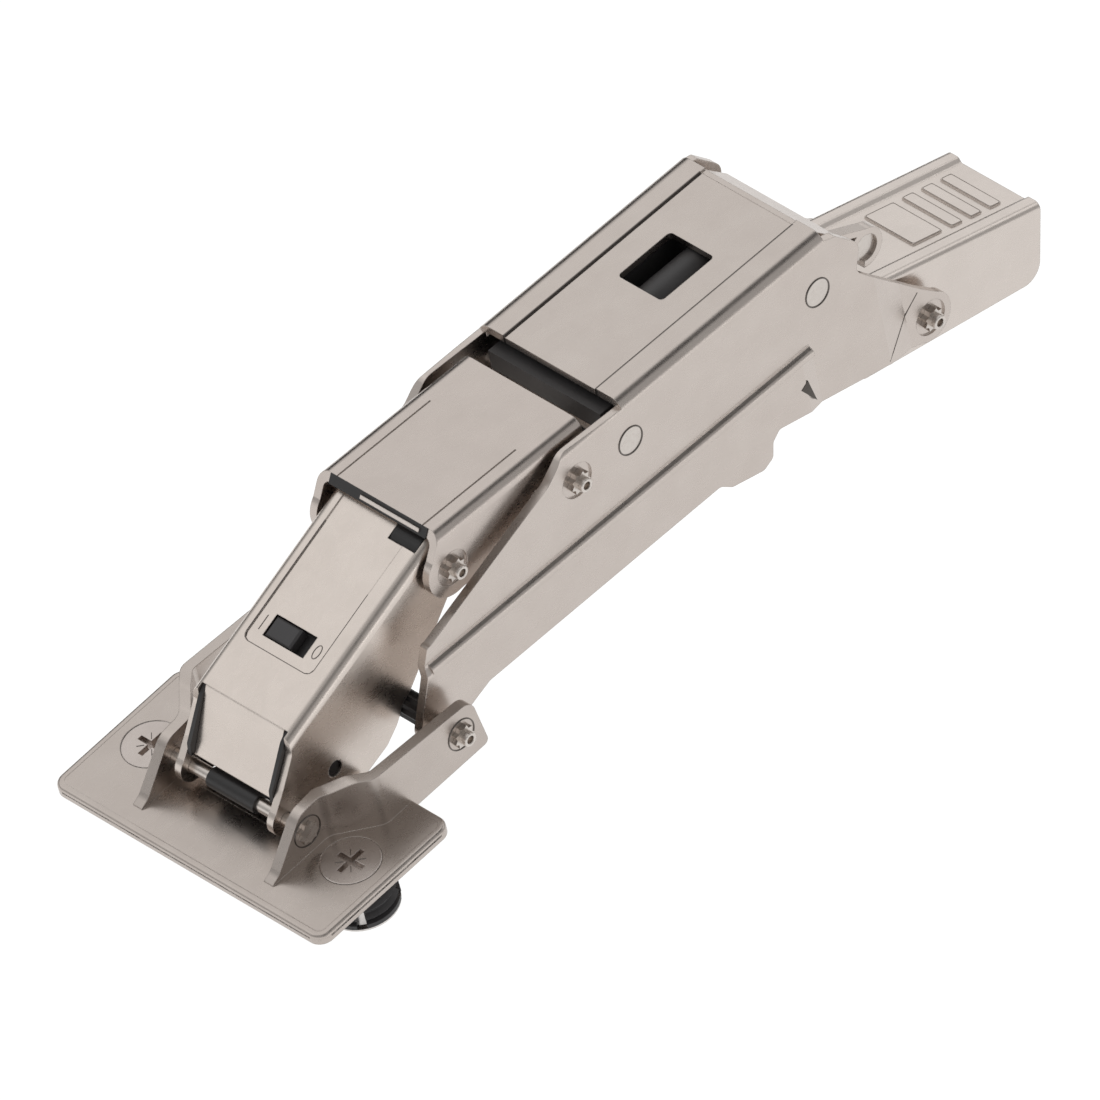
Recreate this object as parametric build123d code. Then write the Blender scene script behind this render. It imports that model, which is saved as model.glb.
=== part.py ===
from build123d import *
import math
import os

os.makedirs("parts", exist_ok=True)

# X runs across, Y from the door end to the arm's free end, Z away from the cabinet side.
# The origin lies on the arm's seating plane, below the main pivot.

# Pivots as (Y, Z), with the hinge open
MAIN_PIVOT = (0.0, 8.5)
LINK_PIVOT = (-81.8, 18.2)
ELBOW_PIVOT = (-106.95, 12.4)
REAR_PIVOT = (-113.6, -12.5)
FRONT_PIVOT = (-142.0, -20.1)
STRUT_LINK_PIVOT = (-88.15, 16.83)
STRUT_ARM_PIVOT = (-8.64, 11.01)
PLATE_CENTRE = (-138.9, -24.0)

# Slopes in degrees, with the hinge open
LEVER_SLOPE = 12.7
MIDDLE_SLOPE = 11.5
SWITCH_SLOPE = 35.8
PLATE_SLOPE = 15.7
ARM_SLOPE = -4.3

# Gaps: a turning fit, a fixed fit, and two joints left loose at the closed chains
TURN_GAP = 0.05
SEAT_GAP = 0.02
LOOSE_GAP = 0.42
CLEAR = 0.3

# Pins and rivets
PIN_R = 1.25
COLLAR_R = 2.1
COLLAR_ROOT = 1.6
COLLAR_PROUD = 0.9
EAR_COLLAR = 0.6
DISH_R = 3.25
DISH_DEPTH = 0.35
RIVET_R = 2.0
RIVET_HEAD_R = 2.5

# Arm
ARM_HALF = 10.65
ARM_T = 1.5
ARM_BEND = 2.8
ARM_CREST = 16.8
ARM_RAIL = 3.15
ARM_TROUGH_HALF = ARM_HALF - ARM_RAIL
ARM_TROUGH = 0.8
ARM_FRONT = -15.0
ARM_REAR = 29.0
ARM_CORNER = 3.5
ARM_MARK = 0.3
HOOK_PIN = (-6.0, 3.2)
HOOK_PIN_R = 1.5

# Long lever
LEVER_HALF = 16.25
LEVER_T = 1.6
LEVER_BEND = 2.6
LEVER_TOP = 35.03
LEVER_WEB_FRONT = -65.74
LEVER_WEB_REAR = -19.14
LEVER_STEP = 1.0
LEVER_STEP_TOP = 16.1
LEVER_STEP_BASE = 14.6
LEVER_STEP_END = -26.3
LEVER_RAMP = 3.2
LEVER_DRAW = 1.75
LEVER_REAR_HALF = LEVER_HALF - LEVER_DRAW
LEVER_EYE_B = 4.2
LEVER_EYE_E = 4.6
WINDOW_WIDE = 9.9
WINDOW_LONG = 12.2
WINDOW_AT = -38.9
LEVER_PANEL_HALF = 10.3
LEVER_PANEL = 0.3
CURL_AT = (-12.7, 18.8)
CURL_WIDE = 2.2
CURL_R = 3.7
CURL_T = 1.2
CURL_SIDE_GAP = 0.5
CURL_HALF = LEVER_REAR_HALF - LEVER_T - CURL_SIDE_GAP
HOUSING_SIDE_GAP = 0.75
FRONT_RIVET = (-65.58, 26.61)
REAR_RIVET = (-22.7, 24.97)

# Middle link
MIDDLE_SIDE_GAP = 1.2
MIDDLE_HALF = LEVER_HALF - LEVER_T - MIDDLE_SIDE_GAP
MIDDLE_T = 1.5
MIDDLE_BEND = 2.2
MIDDLE_TOP = 7.6
MIDDLE_EYE_C = 5.3
MIDDLE_EYE_D = 5.0
MIDDLE_SWEEP = 9.2
MIDDLE_LINE_X = 9.6

# Switch link
SWITCH_SIDE_GAP = 0.85
SWITCH_HALF = MIDDLE_HALF - MIDDLE_T - SWITCH_SIDE_GAP
SWITCH_T = 1.4
SWITCH_BEND = 1.9
SWITCH_TOP = 11.4
SWITCH_FOLD = 10.5
SWITCH_EYE_A = 3.0
SWITCH_EYE_C = 5.0
TONGUE_HALF = SWITCH_HALF - 2.3
SLOT_WIDE = 9.1
SLOT_LONG = 4.1
SLOT_X = -0.95
SLOT_AT = 23.95
PANEL_LEFT = -8.4
PANEL_RIGHT = 6.9
PANEL_AT = 19.9
PANEL_DEEP = 0.22
SLIDER_WIDE = 5.7
SLIDER_GAP = 0.2

# Flange plate
PLATE_HALF = 30.5
PLATE_FRONT = -15.4
PLATE_REAR = 15.2
PLATE_T = 1.85
PLATE_CORNER = 2.5
PLATE_SOFT = 0.6
CUT_HALF = 12.6
CUT_FRONT = -2.0
EAR_T = 2.0
EAR_FRONT_GAP = 2.7
EAR_REAR_GAP = 2.65
EAR_FRONT = SWITCH_HALF + EAR_FRONT_GAP + EAR_T
EAR_REAR = LEVER_HALF + LEVER_STEP + EAR_REAR_GAP + EAR_T

# Door screws and dowels
SCREW_X = 22.5
SCREW_HEAD_R = 5.1
SCREW_R = 2.0
SCREW_LONG = 3.0
DOWEL_R = 6.4
DOWEL_LONG = 8.0

# Sleeves
FRONT_SLEEVE_R = 1.8
FRONT_SLEEVE_HALF = 5.3
REAR_SLEEVE_R = 2.35


def tilted(point, slope):
    """A link's own frame at a pivot: X across, Y along the link, Z out of its web."""
    turn = math.radians(slope)
    normal = (0, -math.sin(turn), math.cos(turn))
    return Plane(origin=(0, point[0], point[1]), x_dir=(1, 0, 0), z_dir=normal)


def off(point, dy, dz):
    """A point of the side view, measured from a pivot."""
    return (point[0] + dy, point[1] + dz)


def run(point, slope, along, out):
    """A point of the side view, measured along a link and out of its web."""
    turn = math.radians(slope)
    dy = along * math.cos(turn) - out * math.sin(turn)
    dz = along * math.sin(turn) + out * math.cos(turn)
    return (point[0] + dy, point[1] + dz)


def outline(points, radii):
    """Closed outline with each corner rounded by its own radius, as far as its sides allow."""
    count = len(points)
    starts = []
    middles = []
    ends = []
    for i in range(count):
        corner = Vector(*points[i])
        to_last = Vector(*points[i - 1]) - corner
        to_next = Vector(*points[(i + 1) % count]) - corner
        back = to_last.normalized()
        ahead = to_next.normalized()
        half = math.acos(max(-1.0, min(1.0, back.dot(ahead)))) / 2
        reach = 0.0
        if radii[i] > 0 and half < 1.55:
            reach = radii[i] / math.tan(half)
            reach = min(reach, 0.48 * to_last.length, 0.48 * to_next.length)
        radius = reach * math.tan(half) if reach > 0 else 0.0
        starts.append(corner + back * reach)
        ends.append(corner + ahead * reach)
        if reach > 0:
            inward = (back + ahead).normalized()
            middles.append(corner + inward * (radius / math.sin(half) - radius))
        else:
            middles.append(None)
    edges = []
    for i in range(count):
        if middles[i] is not None:
            edges.append(Edge.make_three_point_arc(starts[i], middles[i], ends[i]))
        edges.append(Edge.make_line(ends[i], starts[(i + 1) % count]))
    return make_face(edges)


def side(points, radius=0.0):
    """Outline in the side view, its corners rounded alike."""
    return Plane.YZ * outline(points, [radius] * len(points))


def across(face, low, high):
    """Prism of a side outline between two X."""
    return Pos(low, 0, 0) * extrude(face, amount=high - low, dir=(1, 0, 0))


def rod(point, radius, low, high):
    """Round bar along X between two X."""
    return across(Plane.YZ * Pos(point[0], point[1]) * Circle(radius), low, high)


def bar(point, radius, half):
    """Round bar along X, centred."""
    return rod(point, radius, -half, half)


def block(x0, x1, y0, y1, z0, z1):
    """Box between limits."""
    centre = Pos((x0 + x1) / 2, (y0 + y1) / 2, (z0 + z1) / 2)
    return centre * Box(x1 - x0, y1 - y0, z1 - z0)


def section(points, radii, start, end):
    """Bar whose cross-section is an outline of X and Z."""
    face = Plane.XZ * outline(points, radii)
    return Pos(0, start, 0) * extrude(face, amount=end - start, dir=(0, 1, 0))


def twice(solid):
    """A piece with its mirror image."""
    return solid + mirror(solid, about=Plane.YZ)


def star(point, radius, root, teeth, low, high):
    """Bar along X with a toothed outline."""
    points = []
    for i in range(2 * teeth):
        turn = math.pi * i / teeth
        reach = radius if i % 2 == 0 else root
        points.append(off(point, reach * math.cos(turn), reach * math.sin(turn)))
    return across(side(points), low, high)


def collars(point, low, high):
    """The toothed ends that a pin is spread into, one on each side."""
    return twice(star(point, COLLAR_R, COLLAR_ROOT, 9, low, high))


def save(shape, name):
    """Writes one piece."""
    count = len(shape.solids())
    solid = shape.solids()[0]
    solid.label = name
    export_step(solid, f"parts/{name}.step")
    print(name, count, round(solid.volume, 1))


def channel(half, thick, bend, top, depth, start, end):
    """Folded sheet: a web at a height with two walls below it."""
    inner = half - thick
    points = [
        (-half, top - depth),
        (-half, top),
        (half, top),
        (half, top - depth),
        (inner, top - depth),
        (inner, top - thick),
        (-inner, top - thick),
        (-inner, top - depth),
    ]
    soft = bend - thick * 0.7
    return section(points, [0, bend, bend, 0, 0, soft, soft, 0], start, end)


# The arm is a folded channel with a sunk flat between two rails.
arm_frame = tilted((0, ARM_CREST), ARM_SLOPE)
inner = ARM_HALF - ARM_T
arm_half = [
    (ARM_HALF, -22),
    (ARM_HALF, 0),
    (ARM_TROUGH_HALF + 0.4, 0),
    (ARM_TROUGH_HALF - 0.4, -ARM_TROUGH),
]
arm_inner = [
    (ARM_TROUGH_HALF + 0.2, -ARM_TROUGH - ARM_T),
    (ARM_TROUGH_HALF + 0.9, -ARM_T),
    (inner, -ARM_T),
    (inner, -22),
]
arm_points = arm_half + [(-x, z) for x, z in reversed(arm_half)]
arm_points += [(-x, z) for x, z in reversed(arm_inner)] + arm_inner
arm_radii = [0, ARM_BEND, 0.5, 0.5, 0.5, 0.5, ARM_BEND] + [0] * 9
arm = arm_frame.location * section(arm_points, arm_radii, ARM_FRONT - 4, ARM_REAR + 4)
arm_side = outline(
    [(ARM_FRONT, 2.0), (ARM_FRONT, 30), (ARM_REAR, 30), (ARM_REAR, 0), (ARM_FRONT + 4, 0)],
    [2.0, 0, 0, ARM_CORNER, 2.0],
)
arm &= across(Plane.YZ * arm_side, -20, 20)
marks = block(-5.5, 5.5, 5.2, 11.7, -ARM_TROUGH - 0.5, -ARM_TROUGH + ARM_MARK)
for start in (13.9, 18.3, 22.7):
    marks += block(-5.6, 5.6, start, start + 2.4, -ARM_TROUGH - 0.5, -ARM_TROUGH + ARM_MARK)
arm += arm_frame.location * marks
arm -= block(-5.5, 5.5, ARM_FRONT - 5, ARM_FRONT + 4.5, 9, 30)
arm -= bar(MAIN_PIVOT, PIN_R + TURN_GAP, 20)
arm -= bar(STRUT_ARM_PIVOT, PIN_R + SEAT_GAP, 20)
arm -= bar(HOOK_PIN, HOOK_PIN_R + SEAT_GAP, 20)
save(arm, "arm_channel")
save(bar(HOOK_PIN, HOOK_PIN_R, ARM_HALF - 0.1), "hook_pin")
save(bar(STRUT_ARM_PIVOT, PIN_R, ARM_HALF - 0.1), "strut_arm_pin")

# The long lever is a deep channel, stepped out below and drawn in at its rear eye.
lever_frame = tilted(MAIN_PIVOT, LEVER_SLOPE)
inner = LEVER_HALF - LEVER_T
wide = LEVER_HALF + LEVER_STEP
wall = [
    (LEVER_HALF, LEVER_TOP),
    (LEVER_HALF, LEVER_STEP_TOP),
    (wide, LEVER_STEP_BASE),
    (wide, -30),
    (wide - LEVER_T, -30),
    (wide - LEVER_T, LEVER_STEP_BASE - 0.2),
    (inner, LEVER_STEP_TOP - 0.2),
    (inner, LEVER_TOP - LEVER_T),
]
ramp_start = LEVER_STEP_END - LEVER_RAMP
lever_points = wall + [(-x, z) for x, z in reversed(wall)]
lever_radii = [LEVER_BEND, 1.0, 1.0, 0, 0, 0, 0, 1.3]
lever_radii += list(reversed(lever_radii))
lever = section(lever_points, lever_radii, -125, LEVER_STEP_END)
ramp = [
    (wide + 1, ramp_start),
    (wide, ramp_start),
    (LEVER_HALF, LEVER_STEP_END),
    (LEVER_HALF, LEVER_STEP_END + 1),
    (wide + 1, LEVER_STEP_END + 1),
]
lever -= twice(Pos(0, 0, -30) * extrude(outline(ramp, [0] * 5), amount=30 + LEVER_STEP_TOP))
lever += channel(LEVER_HALF, LEVER_T, LEVER_BEND, LEVER_TOP, 50, LEVER_STEP_END, -11.0)
rear = [
    (LEVER_HALF, -11.5),
    (LEVER_HALF, -11.0),
    (LEVER_REAR_HALF, -5.0),
    (LEVER_REAR_HALF, 9.0),
    (LEVER_REAR_HALF - LEVER_T, 9.0),
    (LEVER_REAR_HALF - LEVER_T, -5.2),
    (inner, -11.3),
    (inner, -11.5),
]
rear_wall = Pos(0, 0, -30) * extrude(outline(rear, [0] * 8), amount=60)
lever -= block(-inner, inner, -130, LEVER_WEB_FRONT, -31, 40)
lever -= block(-inner, inner, LEVER_WEB_REAR, 10, -31, 40)
lever += twice(rear_wall)
lever = lever_frame.location * lever
E = MAIN_PIVOT
B = REAR_PIVOT
D = LINK_PIVOT
lever_side = [
    off(B, -1.9, 14.8),
    off(B, -1.1, 15.0),
    off(D, -6.5, 1.9),
    off(D, -3.1, 6.3),
    run(E, LEVER_SLOPE, LEVER_WEB_FRONT, LEVER_TOP - 1.4),
    run(E, LEVER_SLOPE, LEVER_WEB_FRONT, LEVER_TOP + 2),
    run(E, LEVER_SLOPE, LEVER_WEB_REAR, LEVER_TOP + 2),
    run(E, LEVER_SLOPE, LEVER_WEB_REAR, LEVER_TOP - 1.5),
    run(E, LEVER_SLOPE, LEVER_WEB_REAR + 2.3, LEVER_TOP - 2.2),
    off(E, -18.0, 24.3),
    off(E, -18.9, 19.1),
    off(E, -7.8, 10.6),
    off(E, -2.5, 6.8),
    off(E, 3.3, 3.2),
    off(E, 0.7, -4.55),
    off(E, -11.2, -2.9),
    off(E, -37.1, -2.1),
    off(E, -38.5, -3.9),
    off(E, -38.5, -6.9),
    off(E, -40.5, -8.4),
    off(E, -47.7, -8.1),
    off(E, -50.4, -6.7),
    off(B, 11.2, 2.6),
    off(B, 7.8, 0.4),
    off(B, 1.6, -3.88),
    off(B, -4.0, 1.2),
]
lever_soft = [0.8, 0.8, 4, 3, 0, 0, 0, 0, 1, 3, 2, 3, 4, 0, 0, 3, 1, 1, 1, 1.5, 1.5, 1.5, 2, 2, 0, 0]
lever_face = Plane.YZ * outline(lever_side, lever_soft)
lever_face += Plane.YZ * Pos(*B) * Circle(LEVER_EYE_B)
lever_face += Plane.YZ * Pos(*E) * Circle(LEVER_EYE_E)
lever &= across(lever_face, -30, 30)
hole = Pos(0, WINDOW_AT, LEVER_TOP) * Box(WINDOW_WIDE, WINDOW_LONG, 8)
hole = fillet(hole.edges().filter_by(Axis.Z), 0.8)
sunk_long = LEVER_WEB_REAR - LEVER_WEB_FRONT + 10
sunk_mid = (LEVER_WEB_REAR + LEVER_WEB_FRONT) / 2
sunk = Pos(0, sunk_mid, LEVER_TOP + 2 - LEVER_PANEL) * Box(2 * LEVER_PANEL_HALF, sunk_long, 4)
lever -= lever_frame.location * (hole + sunk)
# The web's rear end slopes down, and at its right side it curls round a short pin.
curl = off(E, *CURL_AT)
web_end = run(E, LEVER_SLOPE, LEVER_WEB_REAR - 1.0, LEVER_TOP - 0.2)
web_low = run(E, LEVER_SLOPE, LEVER_WEB_REAR - 1.0, LEVER_TOP - LEVER_T)
top_of_curl = off(curl, 1.7, 3.28)
low_of_curl = off(curl, 1.15, 2.22)
slope_end = off(web_end, 8.0, -5.2)
slope_low = off(web_low, 8.0, -5.2)
slope = across(side([web_end, slope_end, slope_low, web_low]), -CURL_HALF, CURL_HALF)
hook_in = CURL_HALF - CURL_WIDE
slope += across(side([slope_end, top_of_curl, low_of_curl, slope_low]), hook_in, CURL_HALF)
ring = rod(curl, CURL_R, hook_in, CURL_HALF) - bar(curl, CURL_R - CURL_T, 20)
mouth = across(side([curl, off(curl, -9, 3.5), off(curl, -9, -7), off(curl, -1, -9)]), -20, 20)
lever += slope + (ring - mouth)
for rivet in (FRONT_RIVET, REAR_RIVET):
    place = run(E, LEVER_SLOPE, rivet[0], rivet[1])
    lever -= bar(place, RIVET_HEAD_R + SEAT_GAP, 30)
lever -= bar(B, PIN_R + TURN_GAP, 30)
lever -= bar(D, PIN_R + SEAT_GAP, 30)
lever -= bar(E, PIN_R + SEAT_GAP, 30)
lever -= twice(rod(D, DISH_R, LEVER_HALF - DISH_DEPTH, 30))
lever -= twice(rod(E, DISH_R, LEVER_REAR_HALF - DISH_DEPTH, 30))
save(lever, "long_lever")
curl_pin = rod(curl, CURL_R - CURL_T - SEAT_GAP, hook_in - 1.5, CURL_HALF - 0.6)
save(curl_pin, "curl_pin")

# The main pin is spread in the dishes at both ends, as the other pins are.
main_pin = bar(E, PIN_R, LEVER_REAR_HALF)
dish = LEVER_REAR_HALF - DISH_DEPTH + SEAT_GAP
save(main_pin + collars(E, dish, LEVER_REAR_HALF + COLLAR_PROUD), "arm_pin")

# Stub pins leave the middle free for the strut.
stub = rod(D, PIN_R, MIDDLE_HALF - MIDDLE_T - 1.0, LEVER_HALF)
dish = LEVER_HALF - DISH_DEPTH + SEAT_GAP
stub += star(D, COLLAR_R, COLLAR_ROOT, 9, dish, LEVER_HALF + COLLAR_PROUD)
save(stub, "link_stub_right")
save(mirror(stub, about=Plane.YZ), "link_stub_left")

# Rivets hold the damper housing between the lever's walls.
for name, spot in (("front_rivet", FRONT_RIVET), ("rear_rivet", REAR_RIVET)):
    place = run(E, LEVER_SLOPE, spot[0], spot[1])
    rivet = bar(place, RIVET_R, LEVER_HALF - 1)
    rivet += twice(rod(place, RIVET_HEAD_R, inner + 0.05, LEVER_HALF))
    save(rivet, name)

housing_half = inner - HOUSING_SIDE_GAP
housing_top = LEVER_TOP - LEVER_T - 0.1
housing = block(-housing_half, housing_half, -63.0, -20.5, 23.0, housing_top)
top_edges = housing.edges().filter_by(Axis.Y).group_by(Axis.Z)[-1]
housing = chamfer(top_edges, 1.4)
housing += block(1.3 - housing_half, housing_half - 1.3, -67.7, -62.0, 28.0, 32.0)
housing += block(-housing_half, housing_half, -66.8, -62.0, 23.4, 29.0)
housing -= block(-6.5, 6.5, WINDOW_AT - 8.5, WINDOW_AT + 8.5, 27.2, 40)
barrel = Pos(0, WINDOW_AT, 29.4) * Rot(90, 0, 0) * Cylinder(3.6, 18)
housing += barrel
housing = lever_frame.location * housing
for spot in (FRONT_RIVET, REAR_RIVET):
    place = run(E, LEVER_SLOPE, spot[0], spot[1])
    housing -= bar(place, RIVET_R + SEAT_GAP, 30)
save(housing, "damper_housing")

# The middle link is a short channel between the two long ones.
middle_frame = tilted(D, MIDDLE_SLOPE)
middle = channel(MIDDLE_HALF, MIDDLE_T, MIDDLE_BEND, MIDDLE_TOP, 40, -34, 10)
middle = middle_frame.location * middle
C = ELBOW_PIVOT
turn = math.radians(MIDDLE_SLOPE)
link_along = (C[0] - D[0]) * math.cos(turn) + (C[1] - D[1]) * math.sin(turn)
web_back = math.sqrt(MIDDLE_SWEEP**2 - MIDDLE_TOP**2)
middle_side = [
    run(D, MIDDLE_SLOPE, link_along - 0.2, MIDDLE_TOP + 2),
    run(D, MIDDLE_SLOPE, web_back, MIDDLE_TOP + 2),
    run(D, MIDDLE_SLOPE, web_back, MIDDLE_TOP - 1),
    run(D, MIDDLE_SLOPE, MIDDLE_EYE_D - 0.1, 0.5),
    run(D, MIDDLE_SLOPE, 0, -MIDDLE_EYE_D + 0.02),
    off(C, 0.8, -MIDDLE_EYE_C + 0.1),
    off(C, -MIDDLE_EYE_C + 0.1, 0.5),
    run(D, MIDDLE_SLOPE, link_along - 3.2, MIDDLE_TOP - 3.4),
]
middle_face = Plane.YZ * outline(middle_side, [0, 0, 1.5, 0, 0, 0, 0, 2])
middle_face += Plane.YZ * Pos(*C) * Circle(MIDDLE_EYE_C)
middle_face += Plane.YZ * Pos(*D) * Circle(MIDDLE_EYE_D)
middle &= across(middle_face, -30, 30)
middle -= bar(C, PIN_R + SEAT_GAP, 30)
middle -= bar(D, PIN_R + TURN_GAP, 30)
middle -= bar(STRUT_LINK_PIVOT, PIN_R + SEAT_GAP, 30)
middle -= twice(rod(C, DISH_R, MIDDLE_HALF - DISH_DEPTH, 30))
line_end = web_back - 11
line_mid = (link_along - 6 + line_end) / 2
line = Box(0.22, line_end - link_along + 6, 0.4)
middle -= middle_frame.location * twice(Pos(MIDDLE_LINE_X, line_mid, MIDDLE_TOP) * line)
save(middle, "middle_link")
dish = MIDDLE_HALF - DISH_DEPTH + SEAT_GAP
elbow = bar(C, PIN_R, MIDDLE_HALF) + collars(C, dish, MIDDLE_HALF + COLLAR_PROUD)
save(elbow, "elbow_pin")
save(bar(STRUT_LINK_PIVOT, PIN_R, MIDDLE_HALF - 0.1), "strut_link_pin")

# The strut ties the middle link to the arm, and bows clear of the other parts.
F = STRUT_LINK_PIVOT
G = STRUT_ARM_PIVOT
strut_long = math.hypot(G[0] - F[0], G[1] - F[1])
strut_slope = math.degrees(math.atan2(G[1] - F[1], G[0] - F[0]))
strut_line = [
    (-1.6, -2.0),
    (8.2, -7.6),
    (20.0, -7.9),
    (strut_long - 22, -6.4),
    (strut_long - 6.5, -5.4),
    (strut_long + 1.8, -1.6),
    (strut_long - 0.8, 1.9),
    (strut_long - 8.0, -2.9),
    (strut_long - 22, -4.0),
    (20.0, -5.4),
    (10.0, -5.2),
    (1.2, 1.9),
]
strut_side = [run(F, strut_slope, s, h) for s, h in strut_line]
strut_face = Plane.YZ * outline(strut_side, [0, 3, 3, 3, 3, 0, 0, 3, 3, 3, 3, 0])
strut_face += Plane.YZ * Pos(*F) * Circle(2.6)
strut_face += Plane.YZ * Pos(*G) * Circle(2.6)
strut = across(strut_face, -4, 4)
strut -= bar(F, PIN_R + LOOSE_GAP, 20)
strut -= bar(G, PIN_R + TURN_GAP, 20)
save(strut, "control_strut")

# The switch link is a channel with a front tongue, a slot for its slider and two feet.
A = FRONT_PIVOT
switch_frame = tilted(A, SWITCH_SLOPE)
inner = SWITCH_HALF - SWITCH_T
switch = channel(SWITCH_HALF, SWITCH_T, SWITCH_BEND, SWITCH_TOP, 40, -6, 56)
switch -= block(-inner, inner, -10, SWITCH_FOLD, -30, 30)
slot = Pos(SLOT_X, SLOT_AT, SWITCH_TOP) * Box(SLOT_WIDE, SLOT_LONG, 8)
switch -= slot
panel_points = [
    (PANEL_LEFT, PANEL_AT),
    (PANEL_RIGHT, PANEL_AT),
    (PANEL_RIGHT, 60),
    (PANEL_LEFT, 60),
]
panel = extrude(outline(panel_points, [1.3, 1.3, 0, 0]), amount=2)
switch -= Pos(0, 0, SWITCH_TOP - PANEL_DEEP) * panel
switch -= block(3.5, inner, 45.5, 60, SWITCH_TOP - 3, SWITCH_TOP + 3)
switch = switch_frame.location * switch
switch_side = [
    run(A, SWITCH_SLOPE, SWITCH_FOLD - 0.7, SWITCH_TOP + 1),
    off(C, -1.0, 7.2),
    off(C, 4.2, 2.7),
    off(C, 3.6, -3.4),
    run(A, SWITCH_SLOPE, 28.8, -7.4),
    run(A, SWITCH_SLOPE, 27.3, -7.6),
    run(A, SWITCH_SLOPE, 23.5, -9.8),
    run(A, SWITCH_SLOPE, 20.1, -10.9),
    run(A, SWITCH_SLOPE, 13.1, -10.7),
    run(A, SWITCH_SLOPE, -1.4, -2.6),
    run(A, SWITCH_SLOPE, -2.2, 2.0),
    run(A, SWITCH_SLOPE, 2.8, 5.1),
    run(A, SWITCH_SLOPE, 7.9, 8.7),
]
switch_face = Plane.YZ * outline(switch_side, [0, 0, 0, 3, 1, 1, 1.5, 2, 3, 0, 0, 3, 2])
switch_face += Plane.YZ * Pos(*A) * Circle(SWITCH_EYE_A)
switch_face += Plane.YZ * Pos(*C) * Circle(SWITCH_EYE_C)
switch_face -= Plane.YZ * Pos(*B) * Circle(REAR_SLEEVE_R + 0.4)
switch &= across(switch_face, -30, 30)
fold = run(A, SWITCH_SLOPE, SWITCH_FOLD, SWITCH_TOP)
fold_low = run(A, SWITCH_SLOPE, SWITCH_FOLD + 0.8, SWITCH_TOP - SWITCH_T)
fold_top = run(A, SWITCH_SLOPE, SWITCH_FOLD + 0.8, SWITCH_TOP)
tongue_side = [fold_top, fold, off(A, -0.8, 2.9), off(A, 0.6, 2.65), fold_low]
tongue_face = Plane.YZ * outline(tongue_side, [0, 1.2, 0.3, 0.3, 0])
switch += across(tongue_face, -TONGUE_HALF, TONGUE_HALF)
switch -= bar(A, PIN_R + TURN_GAP, 30)
switch -= bar(C, PIN_R + LOOSE_GAP, 30)
switch -= bar(off(A, 11.0, 4.3), 1.5, 30)
save(switch, "switch_link")

body_top = SWITCH_TOP - SWITCH_T - 0.1
body_half = inner - CLEAR
soft = block(-body_half, body_half, 14.0, 43.0, 2.5, body_top)
soft += block(3.8, body_half - 0.2, 42.0, 45.0, 4.5, body_top)
soft = fillet(soft.edges().filter_by(Axis.X).group_by(Axis.Z)[0], 1.5)
soft -= twice(Pos(inner, 30, body_top + 0.3) * Rot(0, 45, 0) * Box(1.7, 60, 1.7))
pocket = Pos(SLOT_X, SLOT_AT, body_top) * Box(SLOT_WIDE, SLOT_LONG, 1.6)
soft -= pocket
save(switch_frame.location * soft, "soft_close_body")
slider_low = body_top - 0.8 + 0.05
slider_left = SLOT_X - SLOT_WIDE / 2 + SLIDER_GAP
slider = block(
    slider_left,
    slider_left + SLIDER_WIDE,
    SLOT_AT - SLOT_LONG / 2 + SLIDER_GAP,
    SLOT_AT + SLOT_LONG / 2 - SLIDER_GAP,
    slider_low,
    SWITCH_TOP - 0.15,
)
ridge = slider.edges().group_by(Axis.Z)[-1]
slider = chamfer(ridge, 0.35)
save(switch_frame.location * slider, "switch_slider")

# The flange plate carries two bent-up ears, close at the front and wide at the rear.
plate_frame = tilted(PLATE_CENTRE, PLATE_SLOPE)
plate_points = [
    (-PLATE_HALF, PLATE_FRONT),
    (PLATE_HALF, PLATE_FRONT),
    (PLATE_HALF, PLATE_REAR),
    (-PLATE_HALF, PLATE_REAR),
]
plate_face = outline(plate_points, [PLATE_CORNER] * 4)
plate = Pos(0, 0, -PLATE_T) * extrude(plate_face, amount=PLATE_T)
plate = chamfer(plate.edges().group_by(Axis.Z)[-1], PLATE_SOFT)
cut = block(-CUT_HALF, CUT_HALF, CUT_FRONT, PLATE_REAR + 5, -5, 5)
cut = fillet(cut.edges().filter_by(Axis.Z), 1.2)
plate -= cut
cone = Solid.make_cone(SCREW_R + 0.6, SCREW_HEAD_R + 0.1, PLATE_T + 0.1)
hole = Pos(SCREW_X, 0, -PLATE_T - 0.1) * cone
plate -= twice(hole)
front_in = EAR_FRONT - EAR_T
rear_in = EAR_REAR - EAR_T
ear_path = [
    (EAR_FRONT, -16),
    (EAR_FRONT, 2.0),
    (EAR_REAR, 9.0),
    (EAR_REAR, 45),
    (rear_in, 45),
    (rear_in, 9.8),
    (front_in, 2.8),
    (front_in, -16),
]
ear = extrude(outline(ear_path, [0, 3, 3, 0, 0, 2, 2, 0]), amount=50)
ears = plate_frame.location * twice(Pos(0, 0, -25) * ear)
P = PLATE_CENTRE
ear_side = [
    off(P, -10.2, -3.9),
    off(P, -10.8, -2.9),
    off(P, -9.4, -1.6),
    off(P, -4.9, 7.7),
    off(P, 0.7, 9.8),
    off(P, 3.6, 12.0),
    off(P, 27.6, 17.0),
    off(P, 31.7, 7.1),
    off(P, 16.0, 2.75),
]
ear_face = Plane.YZ * outline(ear_side, [0, 0, 3, 4, 3, 3, 2.5, 1, 0])
ears &= across(ear_face, -30, 30)
plate = plate_frame.location * plate + ears
plate -= bar(A, PIN_R + SEAT_GAP, 30)
plate -= bar(B, PIN_R + SEAT_GAP, 30)
save(plate, "door_plate")

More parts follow.
